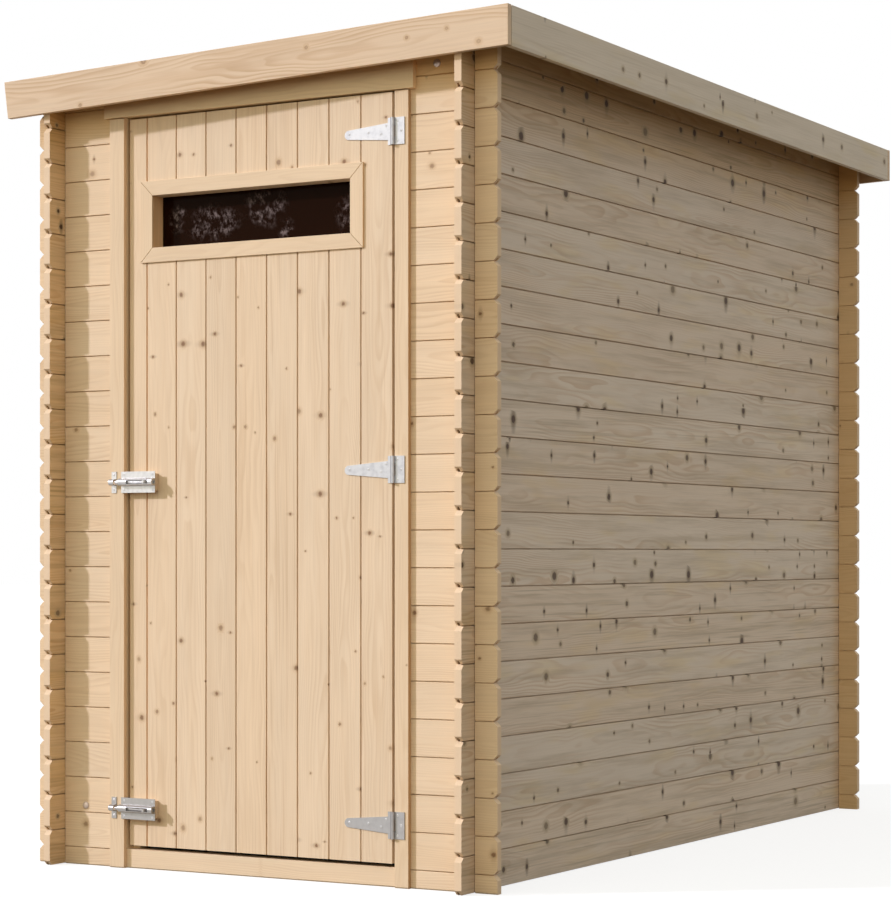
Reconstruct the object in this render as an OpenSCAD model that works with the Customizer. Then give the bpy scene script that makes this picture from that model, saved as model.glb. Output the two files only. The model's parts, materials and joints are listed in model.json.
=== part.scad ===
// Garden shed with a single-slope roof: tongued wall boards that cross at the corners,
// a boarded door with a slot window, three T hinges and two sliding bolts.
// Millimetres. +X to the high side of the roof, +Y to the rear, +Z up.
// Origin on the ground, midway under the roof.

/* [Walls] */
// Width over the outer faces of the side walls
house_w = 1228; // [1080:1:1500]
// Length over the outer faces of the end walls
house_l = 2370; // [1900:1:2900]
// Height of the high side wall, to the underside of the roof boards
high_wall_h = 2033; // [2020:1:2450]
// Height that one wall board covers
course_h = 90; // [70:1:120]
// Thickness of the wall boards
wall_t = 19; // [15:0.5:28]
// How far the board ends run past the corners
log_end = 62; // [50:1:75]
// Size of the slanted cuts on the board ends
end_cut = 12; // [5:1:16]

/* [Roof] */
// Fall of the roof from the high side to the low side, in degrees
roof_pitch = 1.97; // [1:0.01:2.4]
// Roof past the front wall
overhang_front = 80; // [78:1:150]
// Roof past the rear wall
overhang_rear = 80; // [78:1:150]
// Roof past the high side wall
overhang_high = 133; // [80:1:200]
// Roof past the low side wall
overhang_low = 115; // [80:1:200]
// Thickness of the roof boards
roof_board_t = 16; // [12:1:25]
// Height of the fascia boards
fascia_h = 95; // [80:1:120]
// Thickness of the fascia boards
fascia_t = 16; // [12:1:19]
// How far the fascia stands above the roof boards
fascia_rise = 12; // [4:1:20]
// Slant of the fascia ends at the low side
fascia_rake = 12; // [0:1:20]
// Height of the strip that closes the low edge
eave_strip_h = 40; // [25:1:60]
// Thickness of the strip that closes the low edge
eave_strip_t = 14; // [10:1:20]

/* [Doorway] */
// Clear width between the casings
doorway_w = 800; // [650:1:960]
// Doorway off the middle of the wall, towards the hinges
doorway_shift = 3; // [-20:1:20]
// Height of the underside of the door head
head_z = 1907; // [1750:1:1920]
// Height of the sill
sill_h = 48; // [40:1:70]
// Thickness of the linings in the doorway
lining_t = 16; // [12:1:22]
// Depth of the linings, from the wall's outer face inwards
lining_depth = 48; // [46:1:70]
// Width of the casing on the latch side
latch_casing_w = 45; // [36:1:60]
// Width of the casing on the hinge side
hinge_casing_w = 38; // [36:1:60]
// Thickness of the casings
casing_t = 12; // [8:1:15]
// Thickness of the lintel board
lintel_t = 16; // [14:1:20]
// Height of the lintel board
lintel_h = 78; // [60:1:80]
// How far the lintel runs past the casings
lintel_lap = 15; // [0:1:30]

/* [Door] */
// Gap around the door
door_gap = 5; // [5:0.5:8]
// Gap between the door and the sill
foot_gap = 10; // [5:0.5:14]
// Thickness of the door boards
door_t = 19; // [15:0.5:22]
// Angle by which the free edge rests inside the casing, in degrees
door_lean = 1.17; // [0.9:0.01:1.3]
// Width of the ledges and braces on the back
ledge_w = 95; // [70:1:110]
// Thickness of the ledges and braces
ledge_t = 16; // [14:1:20]
// Ledge ends from the door's edges
ledge_inset = 45; // [40:1:80]

/* [Window] */
// Width of the window hole
window_w = 595; // [400:1:600]
// Height of the window hole
window_h = 132; // [90:1:150]
// Height of the middle of the window
window_z = 1638; // [1400:1:1650]
// Middle of the window from the hinge axis
window_from_axis = 419; // [400:1:425]
// Width of the trim around the window
trim_w = 37; // [25:1:40]
// Thickness of the trim
trim_t = 5; // [4:1:18]
// Thickness of the pane
pane_t = 4; // [3:1:6]
// How far the pane laps behind the glazing frame
pane_lap = 12; // [8:1:15]
// Width of the glazing frame bars on the back
glazing_bar_w = 34; // [28:1:40]
// Thickness of the glazing frame
glazing_bar_t = 28; // [26:1:36]
// Depth of the pane's front behind the door boards
pane_recess = 21; // [5:1:22]

/* [Hinges] */
// Heights of the three hinges
hinge_z = [150, 1000, 1808];
// Height of the fixed leaf and the cross bar
leaf_h = 65; // [55:1:80]
// Fixed leaf, from the axis to its far edge
leaf_w = 31; // [26:1:34]
// Strap, from the axis to the far edge of its cross bar
cross_w = 15; // [13:1:22]
// Strap, from the axis to its tip
strap_l = 138; // [110:1:200]
// Height of the strap at its root
strap_root_h = 41; // [35:1:50]
// Height of the strap at its tip
strap_tip_h = 22; // [16:1:30]
// Thickness of the hinge metal
hinge_metal_t = 2.5; // [2:0.5:3]
// Outer radius of the hinge knuckle
knuckle_r = 5; // [4.5:0.5:6]
// Radius of the hinge pin
pin_r = 2.5; // [2:0.25:3]
// Clearance around the hinge pin
pin_gap = 0.1; // [0.05:0.05:0.3]

/* [Bolts] */
// Heights of the two bolts
bolt_z = [153, 980];
// Height of a bolt's plate
bolt_plate_h = 54; // [45:1:65]
// Length of a bolt's plate
bolt_plate_l = 107; // [95:1:120]
// Thickness of a bolt's plate
bolt_plate_t = 2; // [1.5:0.5:3]
// Radius of the sliding rod
rod_r = 5; // [4:0.5:6]
// Clearance around the sliding rod
rod_gap = 0.3; // [0.2:0.1:0.5]
// Outer radius of the barrel that holds the rod
barrel_r = 10; // [8:0.5:11]
// How far the rod slides
rod_travel = 27; // [22:1:33]
// Rod past the barrel when it is drawn back
rod_stub = 12; // [8:1:20]
// How far a bolt's plate runs past the door's edge, over the casing
plate_lap = 12; // [8:1:14]
// Radius of the knob that moves the rod
knob_r = 3.5; // [3:0.5:4]
// Height of the knob above the rod's axis
knob_h = 21; // [16:1:26]
// Width of a keep
keep_w = 15; // [12:1:18]
// Thickness of a keep's metal
keep_t = 2; // [1.5:0.5:2.5]

/* [Battens] */
// Width of the upright battens inside the corners
batten_w = 45; // [35:1:60]
// Thickness of the upright battens
batten_t = 30; // [20:1:35]
// Middle of a batten from the wall's inner face
batten_inset = 74; // [60:1:74]

/* [Hidden] */

roof_w = house_w + overhang_high + overhang_low;
roof_l = house_l + overhang_front + overhang_rear;
x_high = roof_w / 2 - overhang_high;
x_low = -roof_w / 2 + overhang_low;
y_front = -roof_l / 2 + overhang_front;
y_rear = roof_l / 2 - overhang_rear;

doorway_x = (x_high + x_low) / 2 + doorway_shift;
x_latch = doorway_x - doorway_w / 2;
x_hinge = doorway_x + doorway_w / 2;
y_casing = y_front - casing_t;

// Height of the underside of the roof boards, and of their top
function under_roof_z(x) = high_wall_h - (x_high - x) * tan(roof_pitch);
function top_roof_z(x) = under_roof_z(x) + roof_board_t / cos(roof_pitch);

// The walls and battens stop this far below the roof boards
roof_seat = 0.05;

// The hinge axis stands in front of the gap between the door and the hinge casing
knuckle_air = 0.5;
axis_x = x_hinge - door_gap / 2;
axis_y = y_casing - knuckle_r - knuckle_air;
// Door places, from the hinge axis: x runs to the latch side, y inwards
face_y = knuckle_r + knuckle_air;
swing_room = 0.6;
door_edge = door_gap / 2 + swing_room;
door_w = doorway_w - 2 * door_gap - 2 * swing_room;
door_bottom = sill_h + foot_gap;
door_top = head_z - door_gap;
door_back_y = y_casing + (door_edge + door_w) * sin(door_lean) + door_t;

// The bolts' plates pass just in front of the latch casing, and the rods lie on them
plate_air = 1.5;
rod_over_plate = 0.7;
bolt_x1 = door_edge + door_w + plate_lap;
bolt_x0 = bolt_x1 - bolt_plate_l;
plate_back_y = y_casing - axis_y - plate_air - bolt_x1 * sin(door_lean);
rod_y = plate_back_y - bolt_plate_t - rod_over_plate - rod_gap - rod_r;
keep_gap = 4;
keep_x = axis_x - bolt_x1 - rod_stub - keep_gap;
keep_y = axis_y + rod_y + (bolt_x1 + rod_stub + keep_gap) * sin(door_lean);

round_fn = 48;
timber = "BurlyWood";
timber_pale = "Wheat";
timber_shade = "Tan";
zinc = "Silver";

// ---- helpers ----

// A box from one corner to the opposite one
module block(low, high) {
    translate(low) cube(high - low);
}

// A flat outline in X and Z, given its thickness along Y from y0 inwards
module upright(y0, t) {
    translate([0, y0 + t, 0]) rotate([90, 0, 0]) linear_extrude(t) children();
}

// Everything below the roof boards
module below_roof() {
    reach = roof_w;
    upright(-roof_l, 2 * roof_l)
        polygon([[-reach, -1], [reach, -1],
            [reach, under_roof_z(reach) - roof_seat], [-reach, under_roof_z(-reach) - roof_seat]]);
}

// Heights of the joints of a wall whose first board is cut to the height first
function joints(first) = [0, for (z = [first : course_h : high_wall_h + 2 * course_h]) z];

// Outline of a wall of stacked boards, from end u0 to end u1, every board end cut at its corners
module board_stack(u0, u1, first) {
    z = joints(first);
    last = len(z) - 1;
    going_up = [for (i = [0 : last - 1]) each
        [[u1 - end_cut, z[i]], [u1, z[i] + end_cut], [u1, z[i + 1] - end_cut]]];
    going_down = [for (i = [last : -1 : 1]) each
        [[u0 + end_cut, z[i]], [u0, z[i] - end_cut], [u0, z[i - 1] + end_cut]]];
    polygon(concat(going_up, [[u1 - end_cut, z[last]]], going_down, [[u0 + end_cut, 0]]));
}

// Where a crossing wall passes: half of each course, low to high, at the place x or y
module lap_gaps(low, high, start) {
    for (z = [start : course_h : high_wall_h + course_h])
        block([low[0], low[1], max(z, -1)], [high[0], high[1], z + course_h / 2]);
}

// ---- walls ----

module side_wall(x0) {
    color(timber_shade) intersection() {
        difference() {
            translate([x0, 0, 0]) rotate([90, 0, 90]) linear_extrude(wall_t)
                board_stack(y_front - log_end, y_rear + log_end, course_h);
            for (y = [y_front, y_rear - wall_t])
                lap_gaps([x0 - 1, y], [x0 + wall_t + 1, y + wall_t], -course_h / 4);
        }
        below_roof();
    }
}

module end_wall(y0) {
    intersection() {
        difference() {
            upright(y0, wall_t) board_stack(x_low - log_end, x_high + log_end, course_h / 2);
            for (x = [x_low, x_high - wall_t])
                lap_gaps([x, y0 - 1], [x + wall_t, y0 + wall_t + 1], course_h / 4);
        }
        below_roof();
    }
}

// The part of the front wall between two upright lines, above the height z0
module front_wall_piece(x0, x1, z0) {
    color(timber) intersection() {
        end_wall(y_front);
        block([x0, y_front - 1, z0], [x1, y_front + wall_t + 1, 2 * high_wall_h]);
    }
}

module left_wall() { side_wall(x_low); }
module right_wall() { side_wall(x_high - wall_t); }
module rear_wall() { color(timber_shade) end_wall(y_rear - wall_t); }
module front_wall_left() { front_wall_piece(-roof_w, x_latch - lining_t, 0); }
module front_wall_right() { front_wall_piece(x_hinge + lining_t, roof_w, 0); }
module front_wall_top() { front_wall_piece(x_latch - lining_t, x_hinge + lining_t, head_z + lining_t); }

module storm_battens() {
    color(timber_pale) intersection() {
        for (x = [x_low + wall_t + batten_inset, x_high - wall_t - batten_inset],
             y = [y_front + wall_t, y_rear - wall_t - batten_t])
            block([x - batten_w / 2, y, 0], [x + batten_w / 2, y + batten_t, high_wall_h]);
        below_roof();
    }
}

// ---- roof ----

module roof_boards() {
    x0 = -roof_w / 2 + fascia_rake / 2 + eave_strip_t;
    x1 = roof_w / 2 - fascia_t;
    color(timber_shade) upright(-roof_l / 2 + fascia_t, roof_l - 2 * fascia_t)
        polygon([[x0, under_roof_z(x0)], [x1, under_roof_z(x1)], [x1, top_roof_z(x1)], [x0, top_roof_z(x0)]]);
}

// A fascia board that follows the fall of the roof
module sloping_fascia(y0) {
    x1 = roof_w / 2;
    x0 = -roof_w / 2;
    top = [for (x = [x0, x1]) top_roof_z(x) + fascia_rise];
    x2 = x0 + fascia_rake;
    upright(y0, fascia_t)
        polygon([[x2, top_roof_z(x2) + fascia_rise - fascia_h], [x1, top[1] - fascia_h],
            [x1, top[1]], [x0, top[0]]]);
}

module front_fascia() { color(timber) sloping_fascia(-roof_l / 2); }
module rear_fascia() { color(timber_shade) sloping_fascia(roof_l / 2 - fascia_t); }

module high_side_fascia() {
    x1 = roof_w / 2;
    top = top_roof_z(x1 - fascia_t) + fascia_rise;
    color(timber_shade) block([x1 - fascia_t, -roof_l / 2 + fascia_t, top - fascia_h],
        [x1, roof_l / 2 - fascia_t, top]);
}

module eave_strip() {
    x0 = -roof_w / 2 + fascia_rake / 2;
    top = top_roof_z(x0);
    color(timber_shade)
        block([x0, -roof_l / 2 + fascia_t, top - eave_strip_h],
            [x0 + eave_strip_t, roof_l / 2 - fascia_t, top]);
}

// ---- doorway ----

module latch_casing() {
    color(timber_pale) block([x_latch - latch_casing_w, y_casing, 0], [x_latch, y_front, head_z]);
}

module hinge_casing() {
    color(timber_pale) block([x_hinge, y_casing, 0], [x_hinge + hinge_casing_w, y_front, head_z]);
}

module lintel() {
    color(timber_pale) block([x_latch - latch_casing_w - lintel_lap, y_front - lintel_t, head_z],
        [x_hinge + hinge_casing_w + lintel_lap, y_front, head_z + lintel_h]);
}

module sill() {
    color(timber_pale) block([x_latch, y_front, 0], [x_hinge, y_front + lining_depth, sill_h]);
}

module upright_lining(x0) {
    color(timber_pale) block([x0, y_front, 0], [x0 + lining_t, y_front + lining_depth, head_z]);
}

module latch_lining() { upright_lining(x_latch - lining_t); }
module hinge_lining() { upright_lining(x_hinge); }

module head_lining() {
    color(timber_pale) block([x_latch - lining_t, y_front, head_z],
        [x_hinge + lining_t, y_front + lining_depth, head_z + lining_t]);
}

// The strips that the door closes towards, on the latch lining and under the head
stop_w = 22;

module door_stops() {
    y0 = door_back_y + door_gap;
    y1 = y_front + lining_depth;
    color(timber_pale) {
        block([x_latch, y0, sill_h], [x_latch + stop_w, y1, head_z]);
        block([x_latch + stop_w, y0, head_z - stop_w], [x_hinge, y1, head_z]);
    }
}

// ---- door ----

// Puts a door piece, drawn from the hinge axis, into the doorway
module on_door() {
    translate([axis_x, axis_y, 0]) rotate([0, 0, -door_lean]) mirror([1, 0, 0]) children();
}

window_x0 = window_from_axis - window_w / 2;
window_x1 = window_from_axis + window_w / 2;
window_z0 = window_z - window_h / 2;
window_z1 = window_z + window_h / 2;

// A block around the window hole, grown by the margin m on every side
module around_window(m, y0, y1) {
    block([window_x0 - m, y0, window_z0 - m], [window_x1 + m, y1, window_z1 + m]);
}

module door_boards() {
    color(timber_pale) on_door() difference() {
        block([door_edge, face_y, door_bottom], [door_edge + door_w, face_y + door_t, door_top]);
        around_window(0, face_y - 1, face_y + door_t + 1);
    }
}

back_y = face_y + door_t;
ledge_from_top = 30;
brace_foot = 1.2;
ledge_z = [hinge_z[0], hinge_z[1], min(hinge_z[2], door_top - ledge_w / 2 - ledge_from_top)];

module door_ledges() {
    color(timber_pale) on_door() for (z = ledge_z)
        block([door_edge + ledge_inset, back_y, z - ledge_w / 2],
            [door_edge + door_w - ledge_inset, back_y + ledge_t, z + ledge_w / 2]);
}

// A brace rises from the hinge side to the latch side, cut level at both ends, where it is
// brace_foot times as long as it is wide
module brace(z0, z1) {
    x0 = door_edge + ledge_inset;
    x1 = door_edge + door_w - ledge_inset;
    foot = ledge_w * brace_foot;
    upright(back_y, ledge_t) polygon([[x0, z0], [x0 + foot, z0], [x1, z1], [x1 - foot, z1]]);
}

module door_braces() {
    color(timber_pale) on_door() {
        brace(ledge_z[0] + ledge_w / 2, ledge_z[1] - ledge_w / 2);
        brace(ledge_z[1] + ledge_w / 2, window_z0 - glazing_bar_w);
    }
}

module window_trim() {
    color(timber_pale) on_door() difference() {
        around_window(trim_w, face_y - trim_t, face_y);
        around_window(0, face_y - trim_t - 1, face_y + 1);
    }
}

pane_y = back_y + pane_recess;

module window_pane() {
    color("SlateGray", 0.5) on_door() around_window(pane_lap, pane_y, pane_y + pane_t);
}

module glazing_frame() {
    color(timber_pale) on_door() difference() {
        around_window(glazing_bar_w, back_y, back_y + glazing_bar_t);
        around_window(0, back_y - 1, pane_y + 1);
        around_window(pane_lap, pane_y, back_y + glazing_bar_t + 1);
    }
}

// ---- hinges ----

// The strap's knuckle is the middle one of three, with a little space above and below
strap_knuckle_h = leaf_h * 0.4;
knuckle_space = 0.5;
// The flat metal starts this far from the knuckle
knuckle_root = 1;
metal_y0 = face_y - hinge_metal_t;

// Fixed leaf on the hinge casing, with two knuckles and the pin
module hinge_leaf(z) {
    inner = knuckle_r + knuckle_root;
    color(zinc) translate([axis_x, axis_y, z]) {
        block([inner, metal_y0, -leaf_h / 2], [leaf_w, face_y, leaf_h / 2]);
        for (side = [0, 1]) mirror([0, 0, side]) {
            translate([0, 0, strap_knuckle_h / 2 + knuckle_space])
                cylinder(r = knuckle_r, h = (leaf_h - strap_knuckle_h) / 2 - knuckle_space, $fn = round_fn);
            block([0, metal_y0, strap_knuckle_h / 2 + knuckle_space], [inner + 1, knuckle_r, leaf_h / 2]);
        }
        translate([0, 0, -leaf_h / 2]) cylinder(r = pin_r, h = leaf_h, $fn = round_fn);
    }
}

// Strap on the door, with its cross bar and one knuckle around the pin
module hinge_strap(z) {
    clear = knuckle_r + knuckle_root;
    tip_r = strap_tip_h / 2;
    color(zinc) on_door() translate([0, 0, z]) difference() {
        union() {
            block([clear, metal_y0, -leaf_h / 2], [cross_w, face_y, leaf_h / 2]);
            upright(metal_y0, hinge_metal_t) {
                polygon([[cross_w - 1, -strap_root_h / 2], [strap_l - tip_r, -tip_r],
                    [strap_l - tip_r, tip_r], [cross_w - 1, strap_root_h / 2]]);
                translate([strap_l - tip_r, 0]) circle(r = tip_r, $fn = round_fn);
            }
            block([0, metal_y0, -strap_knuckle_h / 2], [clear + 1, knuckle_r, strap_knuckle_h / 2]);
            translate([0, 0, -strap_knuckle_h / 2])
                cylinder(r = knuckle_r, h = strap_knuckle_h, $fn = round_fn);
        }
        translate([0, 0, -leaf_h / 2]) cylinder(r = pin_r + pin_gap, h = leaf_h, $fn = round_fn);
    }
}

// ---- bolts ----

// A cylinder along the door's width, from x0 to x1
module rod_shape(r, x0, x1) {
    translate([x0, rod_y, 0]) rotate([0, 90, 0]) cylinder(r = r, h = x1 - x0, $fn = round_fn);
}

// The slot in the barrel, with room around the knob and some slot to spare
slot_from_end = 13;
slot_spare = 29;
knob_end_air = 2;
knob_side_air = 1;
slot_x0 = bolt_x0 + slot_from_end;
knob_x = slot_x0 + knob_end_air + knob_r;
slot_x1 = knob_x + rod_travel + knob_r + knob_end_air + slot_spare;
// The rod's inner end from the barrel's end
rod_inner_gap = 4;
// The block stops short of the door's edge, and of the plate's other edges
block_inset = 2;
block_under_plate = 5;

// Wooden block that brings the bolt out in front of the latch casing
module bolt_block(z) {
    color(timber_pale) on_door() translate([0, 0, z])
        block([bolt_x0 + block_under_plate, plate_back_y, block_under_plate - bolt_plate_h / 2],
            [door_edge + door_w - block_inset, face_y, bolt_plate_h / 2 - block_under_plate]);
}

module bolt_case(z) {
    slot_r = knob_r + knob_side_air;
    color(zinc) on_door() translate([0, 0, z]) difference() {
        union() {
            block([bolt_x0, plate_back_y - bolt_plate_t, -bolt_plate_h / 2],
                [bolt_x1, plate_back_y, bolt_plate_h / 2]);
            rod_shape(barrel_r, bolt_x0, bolt_x1);
        }
        rod_shape(rod_r + rod_gap, bolt_x0 - 1, bolt_x1 + 1);
        block([bolt_x0 - 1, plate_back_y, -barrel_r - 1],
            [bolt_x1 + 1, plate_back_y + 2 * barrel_r, barrel_r + 1]);
        block([slot_x0, rod_y - barrel_r - 1, -slot_r], [slot_x1, rod_y, slot_r]);
    }
}

module bolt_rod(z) {
    color(zinc) on_door() translate([0, 0, z]) {
        rod_shape(rod_r, bolt_x0 + rod_inner_gap, bolt_x1 + rod_stub);
        translate([knob_x, rod_y - knob_h, 0]) rotate([-90, 0, 0])
            cylinder(r = knob_r, h = knob_h, $fn = round_fn);
    }
}

// Keep on the latch casing: two feet and a loop that the rod slides into
module keep(z) {
    loop_air = 1.2;
    loop_in = rod_r + loop_air;
    loop_out = loop_in + keep_t;
    color(zinc) translate([keep_x - keep_w, 0, z]) difference() {
        union() {
            block([0, y_casing - keep_t, -bolt_plate_h / 2], [keep_w, y_casing, bolt_plate_h / 2]);
            translate([0, keep_y, 0]) rotate([0, 90, 0]) cylinder(r = loop_out, h = keep_w, $fn = round_fn);
            block([0, keep_y, -loop_out], [keep_w, y_casing, loop_out]);
        }
        translate([-1, keep_y, 0]) rotate([0, 90, 0]) cylinder(r = loop_in, h = keep_w + 2, $fn = round_fn);
        block([-1, keep_y, -loop_in], [keep_w + 1, y_front, loop_in]);
        block([-1, y_casing, -bolt_plate_h], [keep_w + 1, y_front, bolt_plate_h]);
    }
}

left_wall();
right_wall();
rear_wall();
front_wall_left();
front_wall_right();
front_wall_top();
storm_battens();
roof_boards();
front_fascia();
rear_fascia();
high_side_fascia();
eave_strip();
latch_casing();
hinge_casing();
lintel();
sill();
latch_lining();
hinge_lining();
head_lining();
door_stops();
door_boards();
door_ledges();
door_braces();
window_trim();
window_pane();
glazing_frame();
hinge_leaf(hinge_z[0]);  // bottom_hinge_leaf
hinge_leaf(hinge_z[1]);  // middle_hinge_leaf
hinge_leaf(hinge_z[2]);  // top_hinge_leaf
hinge_strap(hinge_z[0]);  // bottom_hinge_strap
hinge_strap(hinge_z[1]);  // middle_hinge_strap
hinge_strap(hinge_z[2]);  // top_hinge_strap
bolt_block(bolt_z[0]);  // lower_bolt_block
bolt_block(bolt_z[1]);  // upper_bolt_block
bolt_case(bolt_z[0]);  // lower_bolt_case
bolt_case(bolt_z[1]);  // upper_bolt_case
bolt_rod(bolt_z[0]);  // lower_bolt_rod
bolt_rod(bolt_z[1]);  // upper_bolt_rod
keep(bolt_z[0]);  // lower_keep
keep(bolt_z[1]);  // upper_keep
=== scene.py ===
"""A garden shed of interlocking spruce boards, with a ledged door, tee hinges and barrel bolts."""

import json
import math
import random

import bmesh
import bpy
from bpy.props import FloatProperty, FloatVectorProperty, IntProperty, PointerProperty
from mathutils import Matrix, Vector


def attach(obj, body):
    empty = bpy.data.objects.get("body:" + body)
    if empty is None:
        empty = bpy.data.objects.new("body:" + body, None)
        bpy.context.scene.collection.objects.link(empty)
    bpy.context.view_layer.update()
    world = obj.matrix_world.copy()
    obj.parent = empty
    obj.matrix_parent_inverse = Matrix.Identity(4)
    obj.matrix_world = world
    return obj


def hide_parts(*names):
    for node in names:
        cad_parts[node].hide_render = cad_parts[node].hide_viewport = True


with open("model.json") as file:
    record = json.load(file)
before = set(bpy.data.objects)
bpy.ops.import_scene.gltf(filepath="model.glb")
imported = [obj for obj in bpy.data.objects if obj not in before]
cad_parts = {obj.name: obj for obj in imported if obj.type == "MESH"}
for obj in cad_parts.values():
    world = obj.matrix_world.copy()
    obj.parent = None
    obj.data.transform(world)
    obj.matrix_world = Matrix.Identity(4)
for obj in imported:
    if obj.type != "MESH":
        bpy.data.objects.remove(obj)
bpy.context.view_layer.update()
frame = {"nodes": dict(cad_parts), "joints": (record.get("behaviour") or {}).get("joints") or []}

bl_info = {
    "name": "Garden Shed",
    "version": (1, 0, 0),
    "blender": (4, 5, 0),
    "location": "View3D > Sidebar > Shed",
    "description": "Boards, door, window and fittings of a small pent-roofed garden shed",
    "category": "Object",
}

# Rounding of slender timber, and at a mitre the rounding and the gap from each bar's end
FINE_EASE = 0.0006
MITRE_EASE = 0.0008
MITRE_GAP = 0.0006
# Steel of the hinges and of the bolts, and the screws in both
STRAP_THICK = 0.0025
PLATE_THICK = 0.002
SCREW_RADIUS = 0.0032

LENGTHWISE = Vector((0, 1, 0))
CROSSWISE = Vector((1, 0, 0))
UP = Vector((0, 0, 1))


# ---- the frame ----


def joint(name):
    """One joint of the frame, by name."""
    return next(j for j in frame["joints"] if j["name"] == name)


def axes(along, depth, across, at):
    """A place whose x, y and z run along a board, into it and across it."""
    place = Matrix((along, depth, across)).transposed().to_4x4()
    place.translation = at
    return place


# The door stands a little out of line with the wall, so it has axes of its own at the hinge pins
LATCHWARD = Vector(joint("upper_bolt_slide")["axis"]).normalized()
INWARD = LATCHWARD.cross(UP)
HINGE_X, HINGE_Y, _ = joint("door_hinge")["pos_m"]
DOOR = axes(-LATCHWARD, INWARD, UP, Vector((HINGE_X, HINGE_Y, 0)))
HOUSE = Matrix.Identity(4)


def span(node, place=HOUSE):
    """The lowest and highest corner of a CAD node, measured along the axes of a place."""
    turned = place.inverted()
    points = [turned @ v.co for v in frame["nodes"][node].data.vertices]
    low, high = (Vector(pick(p[i] for p in points) for i in range(3)) for pick in (min, max))
    return low, high


def roof_plane():
    """A point under the roof boards and the direction straight up from them."""
    low_side = span("left_wall")[1]
    high_side = span("right_wall")[1]
    slope = math.atan2(high_side.z - low_side.z, high_side.x - low_side.x)
    return high_side, Vector((-math.sin(slope), 0, math.cos(slope)))


# ---- what a user would change ----


def a_length(name, description, default):
    """A setting in metres."""
    return FloatProperty(name=name, description=description, default=default, unit="LENGTH")


def an_angle(name, description, degrees):
    """A setting that is kept in radians."""
    default = math.radians(degrees)
    return FloatProperty(name=name, description=description, default=default, subtype="ANGLE")


def a_colour(name, description, *default):
    """A setting of red, green and blue."""
    return FloatVectorProperty(
        name=name, description=description, default=default, subtype="COLOR", size=3)


class ShedBoards(bpy.types.PropertyGroup):
    """Sizes of the boards that the frame only gives as plain walls"""

    course: a_length("Course", "Height that one wall board covers", 0.09)
    gap: a_length("Gap", "Open joint between two boards", 0.0030)
    end_gap: a_length("End gap", "Open joint between two boards of the front or rear", 0.0022)
    vee: a_length("Vee", "Chamfer along the face of a wall board", 0.0008)
    joint: a_length("Joint depth", "How deep the open joint is at each face", 0.006)
    tongue_w: a_length("Tongue width", "Thickness of a tongue", 0.0056)
    tongue_h: a_length("Tongue height", "How far a tongue stands up", 0.0050)
    end_cut: a_length("End cut", "Chamfer on the ends of a board that runs past its corner", 0.012)
    kerf: a_length("Kerf", "Open joint where two walls cross", 0.0016)
    door_edge_board: a_length("Hinge board", "Width of the door board with the hinges", 0.0904)
    door_board: a_length("Door board", "Width that each other door board covers", 0.0919)
    door_vee: a_length("Door vee", "Chamfer along the face of a door board", 0.0009)
    deck_boards: IntProperty(
        name="Roof boards", description="Boards in the roof deck", default=26, min=8)
    trim: a_length("Window trim", "Width of the mitred boards round the window", 0.037)
    glazing: a_length("Glazing bar", "Width of the bars that hold the pane", 0.034)
    foot: a_length("Foot", "Chamfer along the lowest edge of the front and walls", 0.003)
    ease: a_length("Eased edge", "Rounding on the edges of planed timber", 0.0010)


class ShedFinish(bpy.types.PropertyGroup):
    """Colours of the timber, metal and glass"""

    spruce: a_colour("Spruce", "Pale early wood", 0.815, 0.637, 0.440)
    honey: a_colour("Honey", "Warmer cast of some boards", 0.815, 0.622, 0.416)
    summer: a_colour("Late wood", "Darker part of each growth ring", 0.62, 0.42, 0.24)
    weathered: a_colour("Weathered", "Early wood of boards kept outdoors", 0.820, 0.682, 0.500)
    stain: a_colour("Stain", "Greyish bloom on weathered boards", 0.47, 0.355, 0.215)
    knot: a_colour("Knot", "Heart of a knot", 0.190, 0.090, 0.042)
    old_knot: a_colour("Weathered knot", "Heart of a knot kept outdoors", 0.080, 0.043, 0.025)
    cut: a_colour("Cut end", "Freshly sawn ends of the wall boards", 0.815, 0.612, 0.412)
    zinc: a_colour("Zinc", "Plated steel of the hinges", 0.52, 0.522, 0.54)
    # Nearly black brown: painted shade of the dark room behind the pane
    glass: a_colour("Glass", "Window pane", 0.0130, 0.0040, 0.0016)


class ShedView(bpy.types.PropertyGroup):
    """The light and the camera"""

    sun: FloatProperty(name="Sun", description="Strength of the key light", default=2.22)
    sun_side: an_angle("Sun side", "How far left of the front the light stands", 51.5)
    sun_height: an_angle("Sun height", "How high the light stands", 27)
    sun_size: an_angle("Sun size", "Width of the light, which softens shadows", 3)
    soft: FloatProperty(
        name="Soft light", description="Strength of the broad light from the front", default=0.985)
    soft_side: an_angle("Soft side", "How far left of the front the broad light stands", 10)
    soft_height: an_angle("Soft height", "How high the broad light stands", 15)
    soft_size: an_angle("Soft size", "Width of the broad light", 80)
    fill: FloatProperty(name="Fill", description="Strength of the sky", default=0.60)
    turn: an_angle("Turn", "How far right of the front the camera stands", 29.68)
    distance: a_length(
        "Distance", "From the camera to the front right corner, along the view", 6.1326)
    aside: a_length("Aside", "How far the corner stands right of the view's middle", 0.0677)
    eye: a_length("Eye height", "Height of the camera", 0.7992)
    lens: FloatProperty(name="Lens", description="Focal length in millimetres", default=104.54)
    rise: FloatProperty(name="Rise", description="Upward shift of the lens", default=0.1164)


# ---- materials ----


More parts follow.
